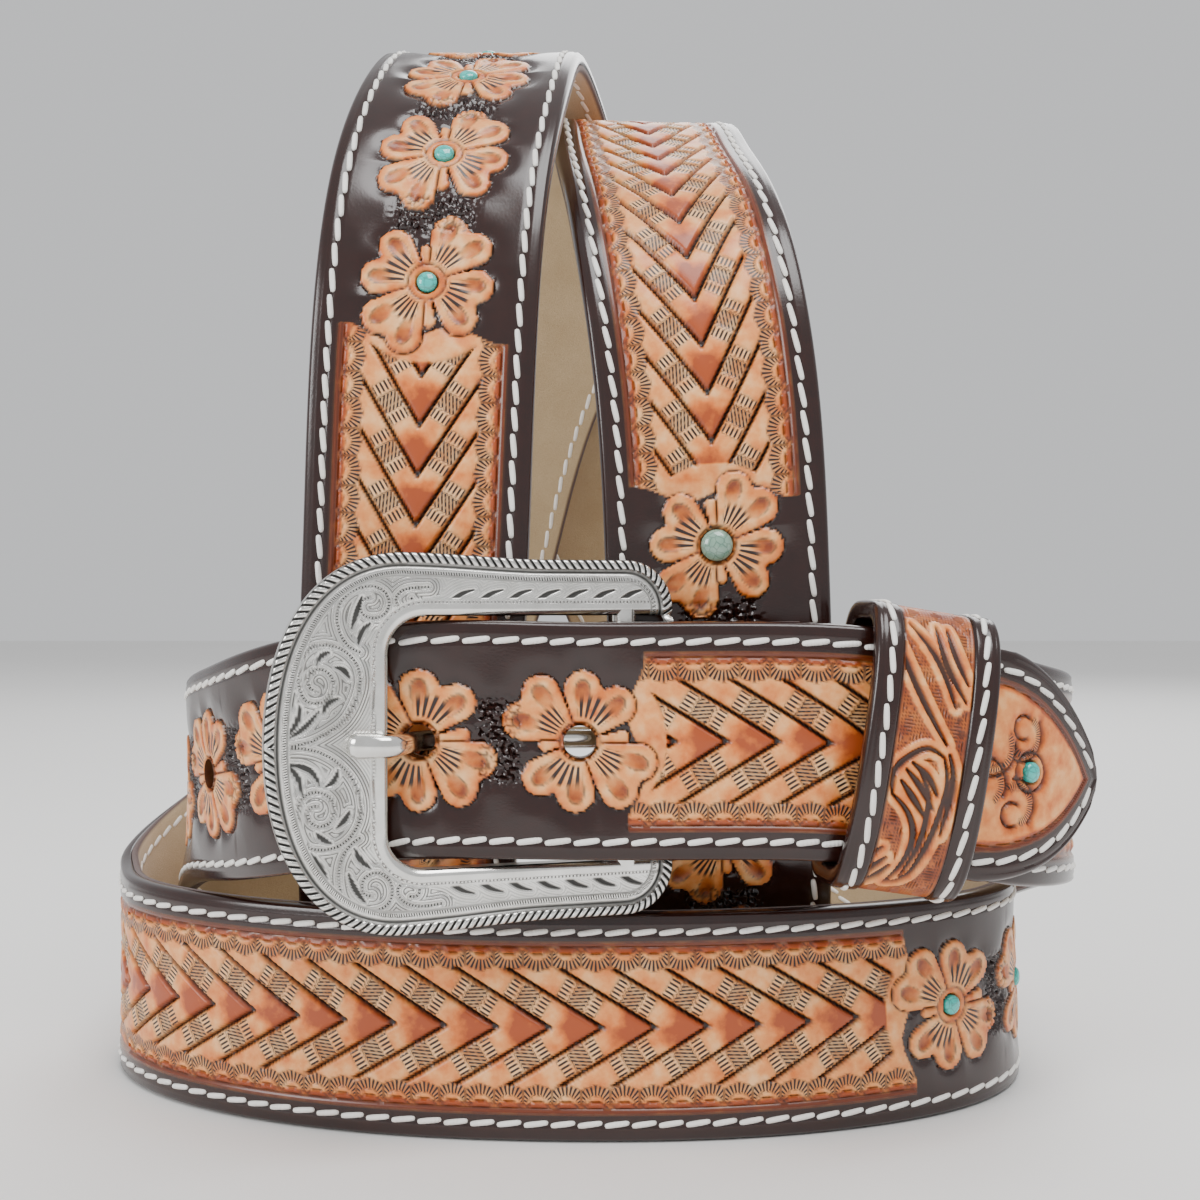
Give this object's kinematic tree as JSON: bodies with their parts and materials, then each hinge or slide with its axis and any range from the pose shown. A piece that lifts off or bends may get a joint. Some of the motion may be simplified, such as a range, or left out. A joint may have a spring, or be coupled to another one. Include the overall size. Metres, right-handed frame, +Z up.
{
  "type": "western tooled belt",
  "caption": "Hand-tooled brown leather belt standing as a fastened coil with crossed arches, with a horseshoe buckle, a wide keeper, basketweave and stone-centred flowers.",
  "frame": {"origin": "bottom centre of the bounding box, on the surface that the coil stands on", "axes": "+Z up, +X to the right seen from the buckle's front, +Y from the buckle to the back of the coil"},
  "size_m": [0.1882, 0.139, 0.2005],
  "materials": {
    "tooled_leather": "tooled veg-tan leather, tan patterns and glossy dark brown dye, white edge stitching, beige suede back",
    "antique_silver": "antique silver plate, dark in the recesses",
    "rivet_metal": "nickel-plated brass, satin",
    "turquoise_stone": "polished turquoise",
    "sea_green_stone": "polished domed sea-green stone"
  },
  "bodies": {
    "root": {"strap": "tooled_leather", "keeper": "tooled_leather", "buckle_frame": "antique_silver", "buckle_tongue": "antique_silver", "chape_rivet_1": "rivet_metal", "chape_rivet_2": "rivet_metal", "stone_right_arch_1": "sea_green_stone", "stone_right_arch_2": "sea_green_stone", "stone_right_arch_3": "sea_green_stone", "stone_right_arch_4": "sea_green_stone", "stone_back_swoop_1": "turquoise_stone", "stone_back_swoop_2": "turquoise_stone", "stone_back_swoop_3": "turquoise_stone", "stone_back_swoop_4": "turquoise_stone", "stone_lower_coil_1": "turquoise_stone", "stone_lower_coil_2": "turquoise_stone", "stone_lower_coil_3": "turquoise_stone", "stone_lower_coil_4": "turquoise_stone", "stone_left_arch_1": "turquoise_stone", "stone_left_arch_2": "turquoise_stone", "stone_left_arch_3": "turquoise_stone", "stone_left_arch_4": "turquoise_stone", "stone_tip": "turquoise_stone"}
  },
  "joints": []
}
